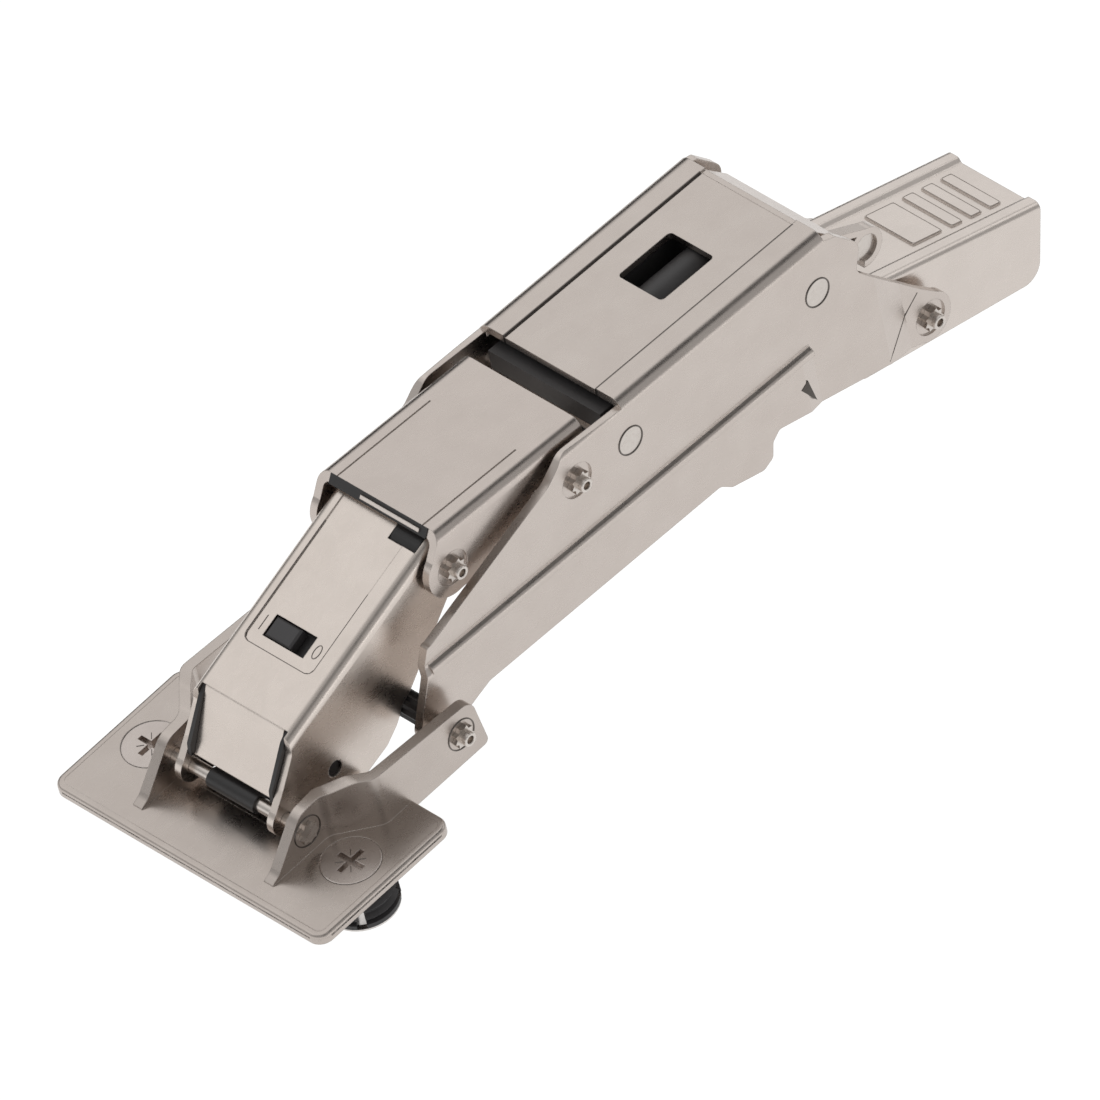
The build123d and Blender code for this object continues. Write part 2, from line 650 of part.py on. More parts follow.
front_pin = bar(A, PIN_R, EAR_FRONT + EAR_COLLAR)
front_pin += collars(A, EAR_FRONT + SEAT_GAP, EAR_FRONT + EAR_COLLAR)
save(front_pin, "front_pin")
front_sleeve = bar(A, FRONT_SLEEVE_R, FRONT_SLEEVE_HALF)
save(front_sleeve - bar(A, PIN_R + SEAT_GAP, 30), "front_sleeve")
rear_pin = bar(B, PIN_R, EAR_REAR + COLLAR_PROUD)
rear_pin += collars(B, EAR_REAR + SEAT_GAP, EAR_REAR + COLLAR_PROUD)
save(rear_pin, "rear_pin")
sleeve_half = wide - LEVER_T - CLEAR
rear_sleeve = star(B, REAR_SLEEVE_R, REAR_SLEEVE_R - 0.35, 10, -sleeve_half, sleeve_half)
save(rear_sleeve - bar(B, PIN_R + SEAT_GAP, 30), "rear_sleeve")

# Each door screw has a flush cross-slotted head and spreads a ribbed dowel.
head = Solid.make_cone(SCREW_R + 0.5, SCREW_HEAD_R, PLATE_T - 0.05)
screw = Pos(0, 0, 0.05 - PLATE_T) * head
screw += Pos(0, 0, -PLATE_T - SCREW_LONG / 2 + 0.3) * Cylinder(SCREW_R, SCREW_LONG)
screw -= Pos(0, 0, 0) * Box(5.4, 0.95, 2.4)
screw -= Pos(0, 0, 0) * Box(0.95, 5.4, 2.4)
dowel_mid = Pos(0, 0, -PLATE_T - DOWEL_LONG / 2)
dowel = dowel_mid * Cylinder(DOWEL_R, DOWEL_LONG)
dowel -= Pos(0, 0, -PLATE_T) * Cylinder(SCREW_R + SEAT_GAP, 2 * SCREW_LONG)
split_long = 2 * (DOWEL_LONG - 1.6)
split = Pos(DOWEL_R, 0, -PLATE_T - DOWEL_LONG) * Box(2 * (DOWEL_R - 2.6), 0.9, split_long)
dowel -= twice(split)
for name, x in (("right", SCREW_X), ("left", -SCREW_X)):
    save(plate_frame.location * Pos(x, 0, 0) * screw, f"door_screw_{name}")
    save(plate_frame.location * Pos(x, 0, 0) * dowel, f"dowel_{name}")
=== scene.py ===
import math

import bmesh
import bpy
from mathutils import Matrix, Vector
from mathutils.bvhtree import BVHTree


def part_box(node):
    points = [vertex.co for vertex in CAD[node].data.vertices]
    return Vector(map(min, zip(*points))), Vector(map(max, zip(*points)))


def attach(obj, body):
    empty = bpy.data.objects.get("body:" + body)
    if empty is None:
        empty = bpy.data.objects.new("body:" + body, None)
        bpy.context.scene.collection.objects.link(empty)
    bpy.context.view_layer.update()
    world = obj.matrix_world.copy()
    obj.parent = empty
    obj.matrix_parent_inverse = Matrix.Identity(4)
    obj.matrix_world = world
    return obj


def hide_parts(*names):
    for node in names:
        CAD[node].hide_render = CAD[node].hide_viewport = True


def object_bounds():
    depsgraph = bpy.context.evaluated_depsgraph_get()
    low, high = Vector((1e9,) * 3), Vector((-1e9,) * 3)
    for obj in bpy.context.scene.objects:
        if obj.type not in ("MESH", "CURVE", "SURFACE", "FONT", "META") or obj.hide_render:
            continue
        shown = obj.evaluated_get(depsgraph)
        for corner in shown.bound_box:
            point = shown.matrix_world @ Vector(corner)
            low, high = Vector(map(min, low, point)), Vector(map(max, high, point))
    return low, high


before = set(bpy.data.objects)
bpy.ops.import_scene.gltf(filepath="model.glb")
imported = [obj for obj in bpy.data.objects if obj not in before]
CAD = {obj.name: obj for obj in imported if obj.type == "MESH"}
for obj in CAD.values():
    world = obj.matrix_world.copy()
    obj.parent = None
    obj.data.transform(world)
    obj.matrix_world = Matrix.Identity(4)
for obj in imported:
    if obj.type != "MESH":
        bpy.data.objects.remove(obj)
cad_low, cad_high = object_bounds()
MM = 0.001
METRES = Matrix.Scale(MM, 4)


def own_frame(slope, y, z, x=0.0):
    """Matrix from a part's own frame, in mm, to the row frame, in metres.

    The part's frame has its origin at x, y and z in mm, and slopes by some degrees about X.
    """
    move = Matrix.Translation((x * MM, y * MM, z * MM))
    return move @ Matrix.Rotation(math.radians(slope), 4, "X") @ METRES


def linear(code):
    """A colour written as sRGB hex, as the linear values that a shader takes."""
    parts = [int(code[i : i + 2], 16) / 255 for i in (0, 2, 4)]
    return [c / 12.92 if c <= 0.04045 else ((c + 0.055) / 1.055) ** 2.4 for c in parts] + [1.0]


def add_node(tree, kind, settings=None, links=None):
    """Adds a node, gives it its settings, and joins its inputs to other nodes' outputs."""
    made = tree.nodes.new(kind)
    for name, value in (settings or {}).items():
        if isinstance(name, int) or name in made.inputs:
            made.inputs[name].default_value = value
        else:
            setattr(made, name, value)
    for name, source in (links or {}).items():
        tree.links.new(source, made.inputs[name])
    return made


def maths(tree, operation, *values, clamp=False):
    """The result of a Math node. Each value is a number or another node's output."""
    made = add_node(tree, "ShaderNodeMath", {"operation": operation, "use_clamp": clamp})
    for socket, value in zip(made.inputs, values):
        if isinstance(value, (int, float)):
            socket.default_value = value
        else:
            tree.links.new(value, socket)
    return made.outputs[0]


def noise(tree, place, size, **settings):
    """Noise whose features are about a size in mm."""
    settings["Scale"] = 1 / (size * MM)
    return add_node(tree, "ShaderNodeTexNoise", settings, {"Vector": place}).outputs["Fac"]


def remap(tree, value, span, result=(0.0, 1.0), kind="LINEAR"):
    """A value brought from one span to another, and kept inside it."""
    settings = {
        "interpolation_type": kind,
        "From Min": span[0],
        "From Max": span[1],
        "To Min": result[0],
        "To Max": result[1],
    }
    return add_node(tree, "ShaderNodeMapRange", settings, {"Value": value}).outputs["Result"]


def tint(tree, share, dark, pale):
    """A colour between a dark and a pale one. The dark one may be another node's output."""
    settings = {"data_type": "RGBA", 7: linear(pale)}
    links = {0: share}
    if isinstance(dark, str):
        settings[6] = linear(dark)
    else:
        links[6] = dark
    return add_node(tree, "ShaderNodeMix", settings, links).outputs[2]


def bumped(tree, height, strength, depth, normal=None):
    """A normal that follows a height, with its depth in mm."""
    links = {"Height": height}
    if normal is not None:
        links["Normal"] = normal
    settings = {"Strength": strength, "Distance": depth * MM}
    return add_node(tree, "ShaderNodeBump", settings, links).outputs["Normal"]


def new_material(name):
    """An empty node material with its output, and its tree."""
    material = bpy.data.materials.new(name)
    material.use_nodes = True
    material.node_tree.nodes.clear()
    return material, material.node_tree


def surfaced(tree, kind, colour, gloss, normal):
    """Ends a material's tree with its surface."""
    looks = {"Base Color": colour, "Roughness": gloss, "Normal": normal}
    shader = add_node(tree, "ShaderNodeBsdfPrincipled", kind, looks)
    add_node(tree, "ShaderNodeOutputMaterial", None, {"Surface": shader.outputs[0]})


def dress(node, material):
    """Gives a CAD node its finish."""
    CAD[node].data.materials.clear()
    CAD[node].data.materials.append(material)


def new_piece(name, mesh, body):
    """Adds a mesh as a piece that rides on a body."""
    piece = bpy.data.objects.new(name, mesh)
    bpy.context.collection.objects.link(piece)
    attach(piece, body)
    return piece


def smooth(mesh):
    """Shades a mesh smooth, apart from its sharp edges."""
    for face in mesh.polygons:
        face.use_smooth = True
    mesh.set_sharp_from_angle(angle=math.radians(38))


def finished(name, bm, place, material, body):
    """Turns a mesh under construction into a piece with its place in its mesh."""
    bmesh.ops.remove_doubles(bm, verts=bm.verts, dist=0.0005)
    bmesh.ops.recalc_face_normals(bm, faces=bm.faces)
    mesh = bpy.data.meshes.new(name)
    bm.to_mesh(mesh)
    bm.free()
    mesh.transform(place)
    mesh.materials.append(material)
    smooth(mesh)
    return new_piece(name, mesh, body)


def plain_mesh(name, drawn):
    """The mesh that a curve or an object with modifiers shows. The object itself goes."""
    bpy.context.view_layer.update()
    seen = drawn.evaluated_get(bpy.context.evaluated_depsgraph_get())
    mesh = bpy.data.meshes.new_from_object(seen)
    bpy.data.objects.remove(drawn)
    mesh.name = name
    return mesh


def drawn_lines(name, runs, radius, place, material, body):
    """Thin raised lines along runs of points in mm, as a mesh placed by a matrix."""
    curve = bpy.data.curves.new(name, "CURVE")
    curve.dimensions = "3D"
    curve.bevel_depth = radius
    curve.bevel_resolution = 2
    curve.use_fill_caps = True
    for closed, points in runs:
        run = curve.splines.new("POLY")
        run.points.add(len(points) - 1)
        run.use_cyclic_u = closed
        for point, at in zip(run.points, points):
            point.co = (*at, 1.0)
    drawn = bpy.data.objects.new(name + "_drawn", curve)
    bpy.context.collection.objects.link(drawn)
    mesh = plain_mesh(name, drawn)
    mesh.transform(place)
    mesh.materials.clear()
    mesh.materials.append(material)
    return new_piece(name, mesh, body)


def prism(bm, first, last):
    """Adds a solid between two outlines with the same number of points, and gives its faces."""
    ends = [[bm.verts.new(point) for point in outline] for outline in (first, last)]
    made = [bm.faces.new(ends[0]), bm.faces.new(list(reversed(ends[1])))]
    for i in range(len(first)):
        made.append(bm.faces.new((ends[0][i - 1], ends[0][i], ends[1][i], ends[1][i - 1])))
    return made


def slab(bm, outline, low, high, corner=0.0):
    """Adds a solid with an outline of (Y, Z) points between two X, with its edges rounded."""
    made = prism(bm, [(low, y, z) for y, z in outline], [(high, y, z) for y, z in outline])
    if corner:
        edges = list(dict.fromkeys(edge for face in made for edge in face.edges))
        bmesh.ops.bevel(
            bm, geom=edges, offset=corner, segments=3, profile=0.5, affect="EDGES"
        )


def corner_turns(x0, x1, y0, y1, corner, steps):
    """The centre and the direction of each point along a rounded rectangle's four corners."""
    turns = []
    for cx, cy, start in (
        (x1 - corner, y1 - corner, 0),
        (x0 + corner, y1 - corner, 90),
        (x0 + corner, y0 + corner, 180),
        (x1 - corner, y0 + corner, 270),
    ):
        for step in range(steps + 1):
            angle = math.radians(start + 90 * step / steps)
            turns.append((cx, cy, math.cos(angle), math.sin(angle)))
    return turns


def rounded(x0, x1, y0, y1, z, corner):
    """Points of a rounded rectangle."""
    turns = corner_turns(x0, x1, y0, y1, corner, 3)
    return [(cx + corner * across, cy + corner * along, z) for cx, cy, across, along in turns]


def round_outline(centre, radius, steps):
    """Points of a circle in (Y, Z)."""
    turns = [2 * math.pi * i / steps for i in range(steps)]
    return [(centre[0] + radius * math.cos(a), centre[1] + radius * math.sin(a)) for a in turns]


# The arm: one strip of cold-rolled steel, pressed into a channel that clips over a plate on the
# cabinet side. It is barrel-plated with satin nickel, which leaves a warm pale grey, a fine matt
# grain and brighter bends. The rectangle and the bars on its back are coined from below.
def coined_line(tree, place, line_at, line_end):
    """How deep a coined line is at each point, from 1 in its middle to 0 beside it.

    line_at is how far the line lies from the middle plane, and line_end is the Y that it stops
    at, both in mm.
    """
    parts = add_node(tree, "ShaderNodeSeparateXYZ", None, {"Vector": place}).outputs
    side = maths(tree, "ABSOLUTE", parts["X"])
    away = maths(tree, "ABSOLUTE", maths(tree, "SUBTRACT", side, line_at * MM))
    # The coined line is 0.25 mm wide, and its rounded edges reach 0.35 mm to each side.
    line = remap(tree, away, (0.12 * MM, 0.35 * MM), (1.0, 0.0), "SMOOTHSTEP")
    before_end = maths(tree, "LESS_THAN", parts["Y"], line_end * MM)
    return maths(tree, "MULTIPLY", line, before_end)


def satin_nickel(name, pale, dark, line=None):
    """Nickel-plated cold-rolled steel: a metal with rolled grain, cloudy plating and soft gloss.

    line gives a coined line's distance from the middle plane and the Y that it stops at, in mm.
    """
    material, tree = new_material(name)
    place = add_node(tree, "ShaderNodeTexCoord").outputs["Object"]
    rolled = add_node(
        tree, "ShaderNodeMapping", {"Scale": (1.0, 0.45, 1.0)}, {"Vector": place}
    ).outputs["Vector"]
    # Rolling grain is about 0.05 mm wide: it is drawn at 0.3 mm so that it shows.
    grain = noise(tree, rolled, 0.3, Detail=3.0, Roughness=0.6)
    # The bath leaves clouds about 6 mm across, where the nickel is slightly warmer or duller.
    cloud = noise(tree, place, 6, Detail=2.0)
    # Tumbling in the barrel leaves light scuffs, some 2 mm apart.
    scuff = noise(tree, rolled, 2, Detail=6.0, Roughness=0.75, Distortion=0.6)
    mottle = maths(tree, "MULTIPLY_ADD", grain, 0.5, cloud)
    colour = tint(tree, remap(tree, mottle, (0.2, 1.3)), dark, pale)
    gloss = remap(tree, scuff, (0.3, 0.7), (0.25, 0.31))
    height = grain
    if line is not None:
        coined_depth_and_shade = coined_line(tree, place, *line)
        height = maths(tree, "MULTIPLY_ADD", coined_depth_and_shade, -9.0, grain)
        # The coined line is also tinted dark: painted shade in its groove.
        colour = tint(tree, coined_depth_and_shade, colour, "6f6965")
    # Tumbling also rounds each cut edge by about 0.2 mm, so that it catches the light.
    tumbled = add_node(tree, "ShaderNodeBevel", {"samples": 4, "Radius": 0.22 * MM}).outputs[0]
    surfaced(tree, {"Metallic": 1.0}, colour, gloss, bumped(tree, height, 0.4, 0.006, tumbled))
    return material


ARM_SLOPE = -4.3
ARM_CREST = 16.8
MARK_TOP = -0.5
MARK_CORNER = 0.4
MARK_R = 0.06
arm_place = own_frame(ARM_SLOPE, 0.0, ARM_CREST)
# The arm's tint is paler than the lever's: painted light, for the brighter light on its back.
dress("arm_channel", satin_nickel("satin_nickel_arm", "dad1ca", "d0c7c0"))
arm_marks = [(True, rounded(-5.45, 5.45, 5.25, 11.65, MARK_TOP, MARK_CORNER))]
for start in (13.9, 18.3, 22.7):
    bar = rounded(-5.55, 5.55, start + 0.05, start + 2.35, MARK_TOP, MARK_CORNER)
    arm_marks.append((True, bar))
# Both line steels are darker than the sheet they lie on: painted shade along stamped and coined
# lines.
shade_line_steel = satin_nickel("satin_nickel_painted_shade_line", "8b8480", "716b67")
coined = satin_nickel("satin_nickel_coined_line_shade", "a9a19b", "8f8782")
drawn_lines("arm_marks", arm_marks, MARK_R, arm_place, coined, "arm")


# The control strut and its pins: a flat steel link inside the arm and the lever, plated as they
# are, on plain turned pins. It sets the middle link's angle, and it is hidden in the photograph.
def turned_pin(name, pale, dark, centre):
    """Nickel-plated turned steel: brighter than the sheet, with rings about the pin's axis."""
    material, tree = new_material(name)
    place = add_node(tree, "ShaderNodeTexCoord").outputs["Object"]
    about = add_node(
        tree,
        "ShaderNodeMapping",
        {"vector_type": "POINT", "Location": (0.0, -centre[0], -centre[1])},
        {"Vector": place},
    ).outputs["Vector"]
    # Turning marks are 0.1 mm apart: they are drawn 0.7 mm apart so that they show. At a scale
    # of 1, the rings of a Wave Texture are 0.314 apart.
    rings = add_node(
        tree,
        "ShaderNodeTexWave",
        {
            "wave_type": "RINGS",
            "rings_direction": "X",
            "Scale": 0.314 / (0.7 * MM),
            "Distortion": 1.2,
            "Detail": 2.0,
        },
        {"Vector": about},
    ).outputs["Fac"]
    stain = noise(tree, place, 0.9, Detail=4.0)
    colour = tint(tree, stain, dark, pale)
    gloss = remap(tree, stain, (0.0, 1.0), (0.22, 0.36))
    surfaced(tree, {"Metallic": 1.0}, colour, gloss, bumped(tree, rings, 0.3, 0.01))
    return material


def middle_of(node):
    """Y and Z of the middle of a CAD node, in metres."""
    low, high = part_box(node)
    return (low.y + high.y) / 2, (low.z + high.z) / 2


def dress_pins(*nodes):
    """Gives each pin its own turned finish, with the rings about its own axis."""
    for pin in nodes:
        dress(pin, turned_pin("turned_steel_" + pin, "dcd5cf", "c2bab3", middle_of(pin)))


dress("control_strut", satin_nickel("satin_nickel_strut", "c9c0b9", "bdb4ad"))
dress_pins("hook_pin", "strut_arm_pin", "strut_link_pin")


# The long lever: the large pressed channel with a square window, stepped flanks and a curled
# rear edge. It is folded from 1.6 mm steel and nickel-plated. Its two shallow lines are coined,
# and rivets and pins join it to the parts inside.
COINED_AT = 10.3
WEB_REAR = -27.4
lever_steel = satin_nickel("satin_nickel_lever", "cfc6bf", "c5bbb4", (COINED_AT, WEB_REAR))
dress("long_lever", lever_steel)
dress_pins("curl_pin", "arm_pin", "link_stub_right", "link_stub_left")
dress_pins("front_rivet", "rear_rivet")


def side_of(node):
    """A function that gives the X of a node's right side at a Y and Z, all in mm, or None."""
    mesh = CAD[node].data
    tree = BVHTree.FromPolygons(
        [vertex.co for vertex in mesh.vertices], [face.vertices for face in mesh.polygons]
    )
    outside = 50
    least = 5

    def side_at(y, z):
        start = Vector((outside, y, z)) * MM
        hit = tree.ray_cast(start, Vector((-1, 0, 0)))[0]
        return None if hit is None or hit.x < least * MM else hit.x / MM

    return side_at


# A thin dark line along the bend before the rear eye, on both sides, is painted shade in the
# crease.
BEND_START = (-3.1, 14.9)
BEND_RUN = (-7.9, -8.7)
BEND_STEPS = 8
BEND_R = 0.08
lever_side = side_of("long_lever")
bends = []
for i in range(BEND_STEPS + 1):
    y, z = (start + run * i / BEND_STEPS for start, run in zip(BEND_START, BEND_RUN))
    x = lever_side(y, z)
    if x is not None:
        bends.append((x, y, z))
both = [(False, bends), (False, [(-x, y, z) for x, y, z in bends])]
drawn_lines("eye_bend_lines", both, BEND_R, METRES, shade_line_steel, "long_lever")

# Each flank steps out by 1 mm below a rounded ridge, from the door end of the flank to STEP_END.
# The profile is in (X, Z) of the lever's own frame.
LEVER_SLOPE = 12.7
MAIN_PIVOT = (0.0, 8.5)
STEP_END = -26.6
STEP_TRY = 0.5
STEP_LIMIT = -120
STEP_TOP = 16.7
STEP_PROFILE = (
    (16.1, 16.6),
    (16.26, 16.6),
    (16.29, 16.3),
    (16.38, 16.08),
    (16.55, 15.94),
    (16.8, 15.84),
    (17.02, 15.68),
    (17.18, 15.44),
    (17.27, 15.1),
    (17.28, 14.6),
    (17.1, 14.4),
)
lever_place = own_frame(LEVER_SLOPE, *MAIN_PIVOT)
step_start = STEP_END
while step_start > STEP_LIMIT:
    at = lever_place @ Vector((0, step_start - STEP_TRY, STEP_TOP)) / MM
    if lever_side(at.y, at.z) is None:
        break
    step_start -= STEP_TRY
step_edge = bmesh.new()
for side in (1, -1):
    first, last = (
        [(side * x, along, z) for x, z in STEP_PROFILE] for along in (step_start, STEP_END)
    )
    prism(step_edge, first, last)
finished("lever_step_edges", step_edge, lever_place, lever_steel, "long_lever")

# A small dark triangle below the end of the step is painted shade: the shaded facet where the
# step runs out, as a dark slab set into the flank.
SHADE_TRIANGLE = ((-30.75, 12.76), (-32.19, 11.47), (-28.58, 7.93))
SHADE_PROUD = 0.05
SHADE_DEEP = 1.2
facet_shade_steel = satin_nickel("satin_nickel_painted_facet_shade", "5f5a56", "4a4541")
flank = max(lever_side(y, z) or 0.0 for y, z in SHADE_TRIANGLE)
shade_triangle = bmesh.new()
slab(shade_triangle, SHADE_TRIANGLE, flank - SHADE_DEEP, flank + SHADE_PROUD)
slab(shade_triangle, SHADE_TRIANGLE, -flank - SHADE_PROUD, -flank + SHADE_DEEP)
finished("painted_shade_triangle", shade_triangle, METRES, facet_shade_steel, "long_lever")


# The damper housing: black glass-filled nylon, moulded, held between the lever's flanks by the
# two rivets. It shows through the window and as the rounded bar at the lever's front. Its skin is
# a fine spark-eroded matt, a little greyer in patches.
def moulded_nylon(name, pale, dark, grain):
    """Moulded nylon: a dark plastic with a fine even texture and a soft, broken gloss."""
    material, tree = new_material(name)
    place = add_node(tree, "ShaderNodeTexCoord").outputs["Object"]
    # The eroded texture is about 0.08 mm: it is drawn coarser so that it shows.
    texture = noise(tree, place, grain, Detail=2.0, Roughness=0.7)
    flow = noise(tree, place, 7, Detail=3.0)
    colour = tint(tree, flow, dark, pale)
    gloss = remap(tree, flow, (0.0, 1.0), (0.36, 0.52))
    surfaced(tree, {"IOR": 1.53}, colour, gloss, bumped(tree, texture, 0.5, 0.02))
    return material


NYLON_GRAIN = 0.3
ACETAL_GRAIN = 0.25
# The housing's tint is paler than the other nylon parts: painted light, for the light inside the
# window.
dress("damper_housing", moulded_nylon("moulded_nylon_housing", "464444", "383636", NYLON_GRAIN))


# The middle link: a shorter pressed channel that swings between the lever and the switch link,
# on the elbow pin. Same strip and same plating as the lever.
dress("middle_link", satin_nickel("satin_nickel_middle", "cfc5be", "c5bbb4"))
dress_pins("elbow_pin")


# The middle link's front edge is in the shade of its own fold: a thin black slab lies along it
# as painted shade, with a strip of bright spring steel on its right half.
MIDDLE_SLOPE = 11.5
LINK_PIVOT = (-81.8, 18.2)
EDGE_SHADE = ((-27.08, 7.56), (-27.98, 5.96), (-28.17, 6.07), (-27.27, 7.66))
EDGE_SHADE_HALF = 10.9
STRIP = ((-27.50, 7.08), (-27.83, 6.49), (-28.15, 6.66), (-27.83, 7.25))
STRIP_LEFT = -3.8
STRIP_RIGHT = 9.4
middle_place = own_frame(MIDDLE_SLOPE, *LINK_PIVOT)
edge_shade = bmesh.new()
slab(edge_shade, EDGE_SHADE, -EDGE_SHADE_HALF, EDGE_SHADE_HALF)
# The slab's near-black nylon is painted shade along the front edge.
edge_shade_nylon = moulded_nylon("painted_shade_front_edge", "2c2a2a", "1e1c1c", NYLON_GRAIN)
finished("front_edge_shade", edge_shade, middle_place, edge_shade_nylon, "middle_link")
strip = bmesh.new()
slab(strip, STRIP, STRIP_LEFT, STRIP_RIGHT)
strip_steel = satin_nickel("spring_steel_strip", "d8d0ca", "c9c0b9")
finished("front_strip", strip, middle_place, strip_steel, "middle_link")


# The switch link: the pressed cover at the door end, with a slot for the soft-close switch. The
# brightest of the pressings in the photograph. Stamped beside the slot are a bar for on and a
# ring for off. The plastic body inside it and the small sliding switch are moulded nylon.
SWITCH_SLOPE = 35.8
FRONT_PIVOT = (-142.0, -20.1)
switch_place = own_frame(SWITCH_SLOPE, *FRONT_PIVOT)
# Its tint is the palest of the pressings: painted light, for how brightly the switch link is lit.
dress("switch_link", satin_nickel("satin_nickel_switch", "dcd2ca", "d0c6be"))
WEB_TOP = 11.4
PANEL_DEEP = 0.22
PANEL = WEB_TOP - PANEL_DEEP
OFF_RING = (5.2, 23.9)
OFF_RING_R = (0.62, 1.25)
OFF_STEPS = 24
oval = []
for i in range(OFF_STEPS):
    angle = 2 * math.pi * i / OFF_STEPS
    across = OFF_RING[0] + OFF_RING_R[0] * math.cos(angle)
    along = OFF_RING[1] + OFF_RING_R[1] * math.sin(angle)
    oval.append((across, along, PANEL))
# The sunk panel's edge runs down the left, round below the slot, and up the right.
PANEL_EDGE = (
    (-8.4, 43.0),
    (-8.4, 21.2),
    (-8.02, 20.28),
    (-7.1, 19.9),
    (5.6, 19.9),
    (6.52, 20.28),
    (6.9, 21.2),
    (6.9, 36.0),
)
SWITCH_MARK_R = 0.09
marks = [
    (False, [(-6.8, 22.4, PANEL), (-6.8, 25.2, PANEL)]),
    (True, oval),
    (False, [(x, along, WEB_TOP - 0.05) for x, along in PANEL_EDGE]),
]
# The bar, the ring and the panel's edge are thin dark lines: painted shade in the stamped marks
# and along the sunk panel's edge.
drawn_lines(
    "on_off_marks", marks, SWITCH_MARK_R, switch_place, shade_line_steel, "switch_link"
)
body_nylon = moulded_nylon("moulded_nylon_body", "323030", "242222", NYLON_GRAIN)
dress("soft_close_body", body_nylon)

# The body fills the gaps beside the tongue and the notch at the elbow, where it shows as black.
# A rod of it closes the round hole in each side.
TONGUE_FIN = ((0.6, 3.2), (1.7, 5.2), (8.6, 10.3), (10.9, 11.1), (14.2, 9.2), (6.0, 2.0))
FIN_IN = 8.84
FIN_OUT = 9.62
ELBOW = (47.44, 5.86)
SIDE_HOLE = (11.44, -2.95)
fills = bmesh.new()
slab(fills, TONGUE_FIN, -FIN_OUT, -FIN_IN)
slab(fills, TONGUE_FIN, FIN_IN, FIN_OUT)
slab(fills, round_outline(ELBOW, 4.0, 40), -9.4, 3.4, 0.3)
slab(fills, round_outline(SIDE_HOLE, 1.42, 24), -10.6, 10.6)
slab(fills, round_outline(ELBOW, 5.35, 48), 3.62, 9.45, 0.45)
finished("body_fills", fills, switch_place, body_nylon, "switch_link")
acetal = moulded_nylon("moulded_acetal_slider", "4b494a", "3a3839", ACETAL_GRAIN)
dress("switch_slider", acetal)


# The door plate: a thick pressed flange that lies on the back of the door, with two ears folded
# up for the pivots. Its top is duller than the links in the photograph.
# The plate's darker tint is painted shade, for the duller light on its sloping top.
plate_steel = satin_nickel("satin_nickel_plate", "c6bdb6", "bbb1aa")
dress("door_plate", plate_steel)
dress_pins("front_pin", "rear_pin")
for sleeve in ("front_sleeve", "rear_sleeve"):
    dress(sleeve, moulded_nylon("moulded_nylon_" + sleeve, "343232", "242222", NYLON_GRAIN))


# The pins' ends: each pin is a drawn tube, and its end stands out of the toothed collar that was
# spread in the dish. The rim of the tube is bright, and its bore is dark.
def rings_on_points():
    """Rings with a rounded section, one at each point, turned as one angle says."""
    tree = bpy.data.node_groups.new("rings_on_points", "GeometryNodeTree")
    for label, kind in (
        ("Points", "NodeSocketGeometry"),
        ("Outer radius", "NodeSocketFloat"),
        ("Inner radius", "NodeSocketFloat"),
        ("Length", "NodeSocketFloat"),
        ("Corner", "NodeSocketFloat"),
        ("Turn", "NodeSocketVector"),
        ("Material", "NodeSocketMaterial"),
    ):
        tree.interface.new_socket(label, in_out="INPUT", socket_type=kind)
    tree.interface.new_socket("Rings", in_out="OUTPUT", socket_type="NodeSocketGeometry")
    given = add_node(tree, "NodeGroupInput").outputs
    wall = maths(tree, "SUBTRACT", given["Outer radius"], given["Inner radius"])
    middle = maths(tree, "MULTIPLY_ADD", wall, -0.5, given["Outer radius"])
    path = add_node(
        tree, "GeometryNodeCurvePrimitiveCircle", {"Resolution": 32}, {"Radius": middle}
    ).outputs["Curve"]
    section = add_node(
        tree,
        "GeometryNodeCurvePrimitiveQuadrilateral",
        None,
        {"Width": wall, "Height": given["Length"]},
    ).outputs["Curve"]
    section = add_node(
        tree,
        "GeometryNodeFilletCurve",
        {"mode": "POLY", "Count": 3},
        {"Curve": section, "Radius": given["Corner"]},
    ).outputs["Curve"]
    ring = add_node(
        tree, "GeometryNodeCurveToMesh", None, {"Curve": path, "Profile Curve": section}
    ).outputs["Mesh"]
    ring = add_node(
        tree, "GeometryNodeTransform", None, {"Geometry": ring, "Rotation": given["Turn"]}
    ).outputs["Geometry"]
    ring = add_node(
        tree, "GeometryNodeInstanceOnPoints", None, {"Points": given["Points"], "Instance": ring}
    ).outputs["Instances"]
    ring = add_node(tree, "GeometryNodeRealizeInstances", None, {"Geometry": ring}).outputs[0]
    ring = add_node(
        tree,
        "GeometryNodeSetMaterial",
        None,
        {"Geometry": ring, "Material": given["Material"]},
    ).outputs["Geometry"]
    add_node(tree, "NodeGroupOutput", None, {"Rings": ring})
    return tree


RINGS = rings_on_points()


def rings(name, points, outer, inner, length, corner, material, body, slot):
    """Rings about X at a set of points in metres, as a plain mesh that rides on a body.

    The radii, the length and the corner are in mm.
    """
    values = {
        "Outer radius": outer * MM,
        "Inner radius": inner * MM,
        "Length": length * MM,
        "Corner": corner * MM,
        "Turn": (0.0, math.radians(90), 0.0),
        "Material": material,
    }
    seed = bpy.data.meshes.new(name + "_points")
    seed.from_pydata(points, [], [])
    grown = bpy.data.objects.new(name + "_grown", seed)
    bpy.context.collection.objects.link(grown)
    grower = grown.modifiers.new("grow", "NODES")
    grower.node_group = RINGS
    for socket in RINGS.interface.items_tree:
        if socket.in_out == "INPUT" and socket.name in values:
            grower[socket.identifier] = values[socket.name]
    mesh = plain_mesh(name, grown)
    smooth(mesh)
    return new_piece(name, mesh, body)


def pin_ends(pin, out=0.0):
    """The middles of a pin's right and left ends, in metres, moved out by some mm."""
    low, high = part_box(pin)
    y, z = middle_of(pin)
    return [(high.x + out * MM, y, z), (low.x - out * MM, y, z)]


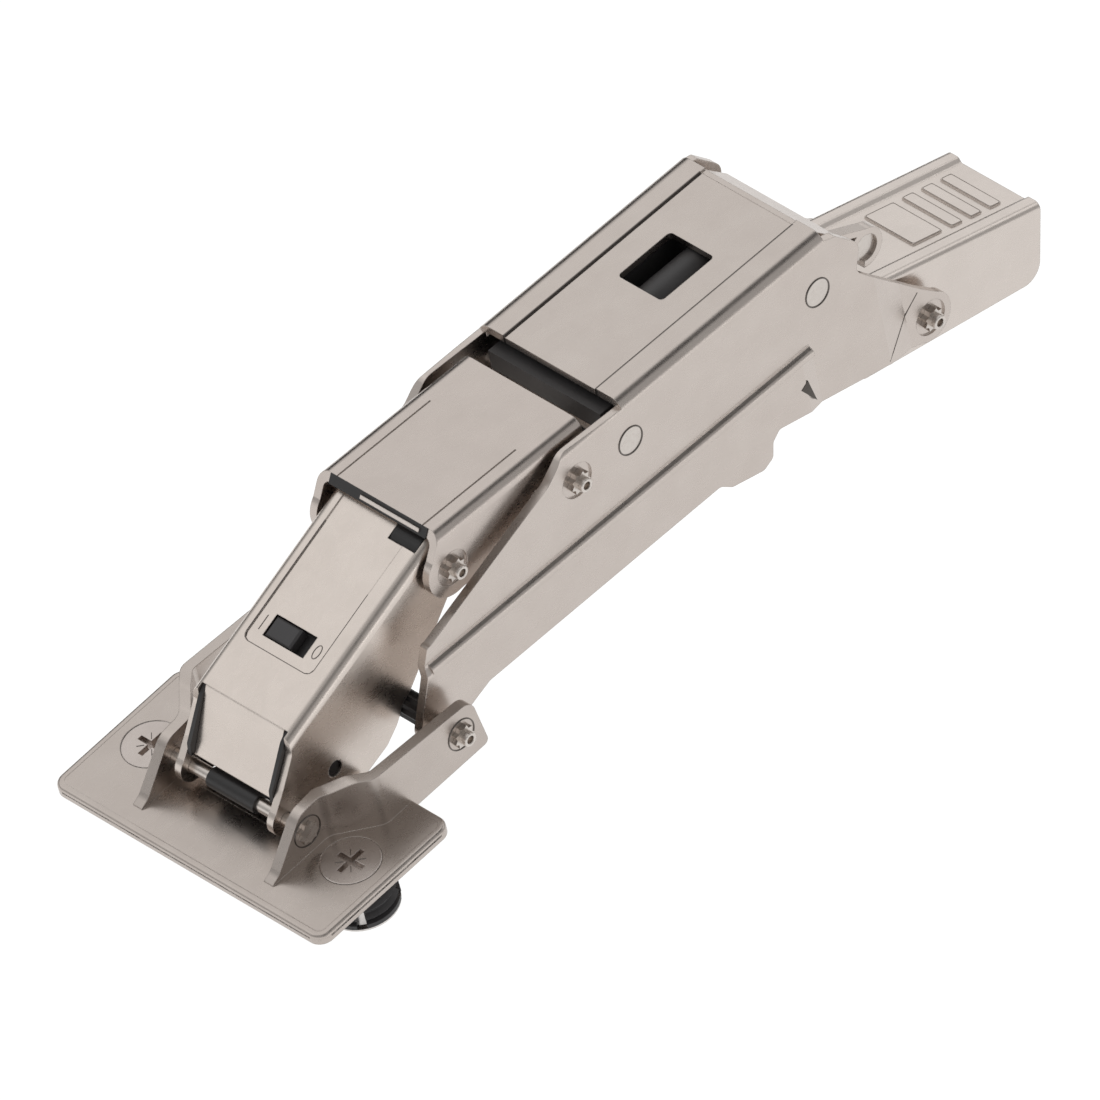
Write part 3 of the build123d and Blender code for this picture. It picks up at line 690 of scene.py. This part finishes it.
TUBE_R = 1.25
TUBE_BORE = 0.7
TUBE_PROUD = 1.3
TUBE_SUNK = 0.3
TUBE_CORNER = 0.16
tube_steel = satin_nickel("satin_nickel_tube", "e2dbd5", "c9c1ba")
tube_out = (TUBE_PROUD - TUBE_SUNK) / 2
for body, ends in (
    (
        "long_lever",
        pin_ends("arm_pin", tube_out)
        + pin_ends("link_stub_right", tube_out)[:1]
        + pin_ends("link_stub_left", tube_out)[1:],
    ),
    ("middle_link", pin_ends("elbow_pin", tube_out)),
    ("door_plate", pin_ends("rear_pin", tube_out)),
):
    rings(
        "pin_tubes_" + body,
        ends,
        TUBE_R,
        TUBE_BORE,
        TUBE_PROUD + TUBE_SUNK,
        TUBE_CORNER,
        tube_steel,
        body,
        "pin_steel",
    )


# Each rivet sits in a pressed ring, and so does each pin's end in an ear. A thin dark ring round
# each is painted shade in the pressed ring.
RIVET_RING = (2.72, 2.46)
EAR_RING = (2.95, 2.72)
RING_LONG = 0.3
RING_CORNER = 0.1
EAR_X = {"front_pin": 15.8, "rear_pin": 21.9}
groove_shade = satin_nickel("satin_nickel_groove_shade", "77716d", "5e5955")
on_lever = pin_ends("front_rivet") + pin_ends("rear_rivet")
on_ears = []
for pin, ear_x in EAR_X.items():
    on_ears += [(side * ear_x * MM, *middle_of(pin)) for side in (1, -1)]
for name, points, radii, body in (
    ("rivet_grooves", on_lever, RIVET_RING, "long_lever"),
    ("ear_grooves", on_ears, EAR_RING, "door_plate"),
):
    rings(name, points, *radii, RING_LONG, RING_CORNER, groove_shade, body, "plated_steel")


# The plate's upper edge is rounded by pressing, on all sides but across the cut-out at the back.
# The rim's profile gives how far inward and how high each point lies.
PLATE_SLOPE = 15.7
PLATE_CENTRE = (-138.9, -24.0)
PLATE_T = 1.85
PLATE_HALF = 30.5
PLATE_FRONT = -15.4
PLATE_BACK = 15.2
PLATE_CORNER = 2.5
CUT_HALF = 12.6
RIM_R = 0.62
RIM_PROUD = 0.012
RIM_STEPS = 8
rim_profile = [(1.3, RIM_PROUD), (0.9, RIM_PROUD)]
for step in range(RIM_STEPS + 1):
    angle = math.radians(90 * step / RIM_STEPS)
    depth = RIM_R * (1 - math.cos(angle))
    rim_profile.append((RIM_R * (1 - math.sin(angle)), RIM_PROUD - depth))
rim_profile += [(0.0, -1.0), (0.5, -1.0), (1.3, -0.5)]
rim = bmesh.new()
rows = []
for cx, cy, nx, ny in corner_turns(
    -PLATE_HALF, PLATE_HALF, PLATE_FRONT, PLATE_BACK, PLATE_CORNER, RIM_STEPS
):
    row = []
    for inward, out in rim_profile:
        reach = PLATE_CORNER - inward
        row.append(rim.verts.new((cx + nx * reach, cy + ny * reach, out)))
    rows.append(row)
# The first corner ends and the second begins on the two sides of the cut-out, where each run of
# the rim goes on to a flat end.
for side, corner in ((1, rows[RIM_STEPS]), (-1, rows[RIM_STEPS + 1])):
    stop = [rim.verts.new((side * (CUT_HALF + 0.05), v.co.y, v.co.z)) for v in corner]
    for k in range(len(stop)):
        rim.faces.new((corner[k - 1], corner[k], stop[k], stop[k - 1]))
    rim.faces.new(stop)
for i, row in enumerate(rows):
    if i != RIM_STEPS + 1:
        for k in range(len(row)):
            rim.faces.new((rows[i - 1][k - 1], row[k - 1], row[k], rows[i - 1][k]))
plate_place = own_frame(PLATE_SLOPE, *PLATE_CENTRE)
finished("plate_rim", rim, plate_place, plate_steel, "door_plate")

# Behind the front pin, a strip of the plate and the black foot below it close the cut-out.
LIP = ((-2.05, -PLATE_T), (-2.05, 0.0), (-0.5, 0.0), (-0.5, -PLATE_T))
LIP_HALF = 12.55
FOOT = ((-0.48, -PLATE_T), (-0.48, -0.4), (7.5, -0.4), (7.5, -PLATE_T))
FOOT_HALF = 9.3
lip = bmesh.new()
slab(lip, LIP, -LIP_HALF, LIP_HALF)
finished("plate_lip", lip, plate_place, plate_steel, "door_plate")
foot = bmesh.new()
slab(foot, FOOT, -FOOT_HALF, FOOT_HALF, 0.2)
finished("plate_foot", foot, plate_place, body_nylon, "door_plate")


# The door screws and their dowels: countersunk steel screws with a cross recess, each driven into
# a black nylon dowel that spreads in a drilled hole. The dowels' rings of barbs are moulded on.
def turned_sector(bm, profile, start, end, steps):
    """Adds a closed solid: a profile of (radius, height) swept from one angle to another."""
    rows = []
    for i in range(steps + 1):
        angle = start + (end - start) * i / steps
        spoke = [(r * math.cos(angle), r * math.sin(angle), z) for r, z in profile]
        rows.append([bm.verts.new(place) for place in spoke])
    whole = abs(end - start) > 2 * math.pi - 0.001
    for i in range(steps):
        for j in range(len(profile)):
            k = (j + 1) % len(profile)
            bm.faces.new((rows[i][j], rows[i + 1][j], rows[i + 1][k], rows[i][k]))
    if not whole:
        bm.faces.new(rows[0])
        bm.faces.new(list(reversed(rows[-1])))


SCREW_X = 22.5
SCREWS = (
    ("right", own_frame(PLATE_SLOPE, *PLATE_CENTRE, SCREW_X)),
    ("left", own_frame(PLATE_SLOPE, *PLATE_CENTRE, -SCREW_X)),
)

# The recess of each screw has four thin ticks between the arms of its cross, drawn as dark lines:
# painted shade in the ticks.
TICK_FROM = 1.2
TICK_TO = 2.5
TICK_R = 0.07
TICK_TOP = 0.02
ticks = []
for turn in (45, 135, 225, 315):
    across, along = math.cos(math.radians(turn)), math.sin(math.radians(turn))
    ticks.append((False, [(r * across, r * along, TICK_TOP) for r in (TICK_FROM, TICK_TO)]))
for side, place in SCREWS:
    name = "screw_ticks_" + side
    drawn_lines(name, ticks, TICK_R, place, shade_line_steel, "door_plate")

# One barb is 1.9 mm high: it slopes out to its lip and steps back in under it. The profiles give
# the radius and the height of each point.
DOWEL_R = 6.4
DOWEL_BORE = 3.2
DOWEL_END = -9.85
BARBS = 3
BARB_PITCH = 1.9
BARB_ROOT = DOWEL_R - 0.75
dowel_profile = [(DOWEL_BORE, -PLATE_T), (DOWEL_R - 0.3, -PLATE_T)]
for i in range(BARBS):
    top = -PLATE_T - 0.5 - i * BARB_PITCH
    dowel_profile += [
        (BARB_ROOT, top - 0.15),
        (BARB_ROOT, top - 0.55),
        (DOWEL_R - 0.15, top - 1.0),
        (DOWEL_R, top - 1.25),
        (DOWEL_R - 0.15, top - 1.5),
    ]
dowel_profile += [
    (BARB_ROOT, DOWEL_END + 1.55),
    (DOWEL_R, DOWEL_END + 1.3),
    (DOWEL_R, DOWEL_END + 0.45),
    (5.3, DOWEL_END + 0.45),
    (DOWEL_BORE, DOWEL_END + 4.2),
]
expander_profile = [
    (0.0, -PLATE_T - 3.0),
    (3.1, -PLATE_T - 3.0),
    (3.1, DOWEL_END + 4.2),
    (5.25, DOWEL_END + 0.4),
    (DOWEL_R - 0.1, DOWEL_END + 0.35),
    (DOWEL_R - 0.1, DOWEL_END),
    (0.0, DOWEL_END),
]
# Four splits, each 15 degrees wide, let the dowel spread.
SECTOR_HALF = math.radians(45 - 7.5)
for side, place in SCREWS:
    dress("door_screw_" + side, satin_nickel("satin_nickel_screw_" + side, "d2c9c3", "b9afa9"))
    nylon = moulded_nylon("moulded_nylon_dowel_" + side, "403e3f", "2c2a2b", NYLON_GRAIN)
    shell = bmesh.new()
    for turn in (0, 90, 180, 270):
        middle = math.radians(turn)
        turned_sector(shell, dowel_profile, middle - SECTOR_HALF, middle + SECTOR_HALF, 10)
    shell = finished("dowel_shell_" + side, shell, place, nylon, "door_plate")
    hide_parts("dowel_" + side)
    cone = bmesh.new()
    turned_sector(cone, expander_profile, 0.0, 2 * math.pi, 40)
    steel = turned_pin("turned_steel_expander_" + side, "e6e2df", "cfcac6", (0.0, 0.0))
    finished("dowel_expander_" + side, cone, place, steel, "door_plate")


# The floor: a plain pale sheet under the lowest point, seen as white, which keeps a soft shadow.
METAL_SEES = 0.86
FLOOR_SHARE = 0.82
FLOOR_GLOW = 1.2
FLOOR_HALF = 6.0
FLOOR_GAP = 0.0005


def white_floor():
    """A matt white that the camera and the metal see as the photograph's white background."""
    material, tree = new_material("white_paper_floor")
    ray = add_node(tree, "ShaderNodeLightPath").outputs
    seen = maths(tree, "MULTIPLY_ADD", ray["Is Glossy Ray"], METAL_SEES, ray["Is Camera Ray"])
    seen = maths(tree, "ADD", seen, ray["Is Transmission Ray"], clamp=True)
    share = maths(tree, "MULTIPLY", seen, FLOOR_SHARE)
    paper = add_node(tree, "ShaderNodeBsdfDiffuse", {"Color": (0.8, 0.8, 0.8, 1)}).outputs[0]
    glow = add_node(tree, "ShaderNodeEmission", {"Strength": FLOOR_GLOW}).outputs[0]
    mixed = add_node(tree, "ShaderNodeMixShader", None, {0: share, 1: paper, 2: glow})
    add_node(tree, "ShaderNodeOutputMaterial", None, {"Surface": mixed.outputs[0]})
    return material


floor_mesh = bpy.data.meshes.new("floor")
floor_z = cad_low.z - FLOOR_GAP
corners = [
    (x * FLOOR_HALF, y * FLOOR_HALF, floor_z) for x, y in ((-1, -1), (1, -1), (1, 1), (-1, 1))
]
floor_mesh.from_pydata(corners, [], [(0, 1, 2, 3)])
floor_mesh.materials.append(white_floor())
floor = bpy.data.objects.new("floor", floor_mesh)
bpy.context.collection.objects.link(floor)


# The light: a pale studio, as the metal sees it, with round cards in it. Bright cards light the
# webs from above and from the left, and small ones low on the right draw the bends' bright lines.
# Dark cards draw the dark ones. A card has its direction, the angles in degrees from there at
# which it starts and stops to fade, and its level.
STUDIO_LEVEL = 0.58
CARDS = (
    ((-0.50, 0.02, 0.86), 30, 40, 0.92),
    ((-0.577, -0.45, 0.68), 12, 24, 1.05),
    ((0.18, 0.27, 0.946), 13, 20, 0.05),
    ((0.55, -0.36, 0.75), 9, 16, 0.2),
    ((-0.89, 0.42, 0.17), 20, 30, 0.04),
    ((-0.42, 0.74, 0.52), 17, 25, 1.25),
    ((0.25, 0.70, 0.67), 9, 15, 1.6),
    ((0.91, 0.36, 0.05), 5, 9, 2.2),
    ((0.98, 0.10, 0.12), 5, 9, 2.2),
)
world = bpy.data.worlds.new("pale_studio")
bpy.context.scene.world = world
world.use_nodes = True
sky = world.node_tree
sky.nodes.clear()
towards = add_node(sky, "ShaderNodeTexCoord").outputs["Generated"]
level = None
for centre, inner, outer, card_level in CARDS:
    card = {"operation": "DOT_PRODUCT", 1: tuple(Vector(centre).normalized())}
    facing = add_node(sky, "ShaderNodeVectorMath", card, {0: towards}).outputs["Value"]
    fade = (math.cos(math.radians(outer)), math.cos(math.radians(inner)))
    cover = remap(sky, facing, fade, kind="SMOOTHSTEP")
    levels = {"data_type": "FLOAT", 2: STUDIO_LEVEL, 3: card_level}
    mixed = add_node(sky, "ShaderNodeMix", levels, {0: cover})
    if level is not None:
        sky.links.new(level, mixed.inputs[2])
    level = mixed.outputs[0]
ray = add_node(sky, "ShaderNodeLightPath").outputs
direct = maths(sky, "ADD", ray["Is Camera Ray"], ray["Is Transmission Ray"], clamp=True)
level = add_node(
    sky, "ShaderNodeMix", {"data_type": "FLOAT", 3: 1.0}, {0: direct, 2: level}
).outputs[0]
backdrop = add_node(sky, "ShaderNodeBackground", None, {"Strength": level}).outputs[0]
add_node(sky, "ShaderNodeOutputWorld", None, {"Surface": backdrop})

AIM = Vector((0.0027, -0.0744, -0.0058))
SOFT_BOX_SIDE = 1.8
SOFT_BOX_WATTS = 2.0
SOFT_BOX_AWAY = 1.6
soft_box = bpy.data.lights.new("soft_box_above", "AREA")
soft_box.shape = "SQUARE"
soft_box.size = SOFT_BOX_SIDE
soft_box.energy = SOFT_BOX_WATTS
holder = bpy.data.objects.new("soft_box_above", soft_box)
above = Vector((-0.45, 0.0, 0.9)).normalized()
holder.location = AIM + above * SOFT_BOX_AWAY
holder.rotation_euler = above.to_track_quat("Z", "Y").to_euler()
bpy.context.collection.objects.link(holder)


# The camera: the photograph's view, from the right of the door end and above, with a long lens.
CAMERA_AWAY = 7.0
PHOTO_WIDTH = 0.17544
SENSOR_WIDTH = 36.0
azimuth = math.radians(45)
elevation = math.radians(35.264)
back = Vector(
    (
        math.sin(azimuth) * math.cos(elevation),
        -math.cos(azimuth) * math.cos(elevation),
        math.sin(elevation),
    )
)
lens = bpy.data.cameras.new("camera")
lens.sensor_width = SENSOR_WIDTH
lens.lens = lens.sensor_width * CAMERA_AWAY / PHOTO_WIDTH
lens.clip_start = 0.1
lens.clip_end = 20.0
camera = bpy.data.objects.new("camera", lens)
camera.location = AIM + back * CAMERA_AWAY
camera.rotation_euler = back.to_track_quat("Z", "Y").to_euler()
bpy.context.collection.objects.link(camera)
bpy.context.scene.camera = camera
bpy.context.scene.view_settings.view_transform = "Standard"
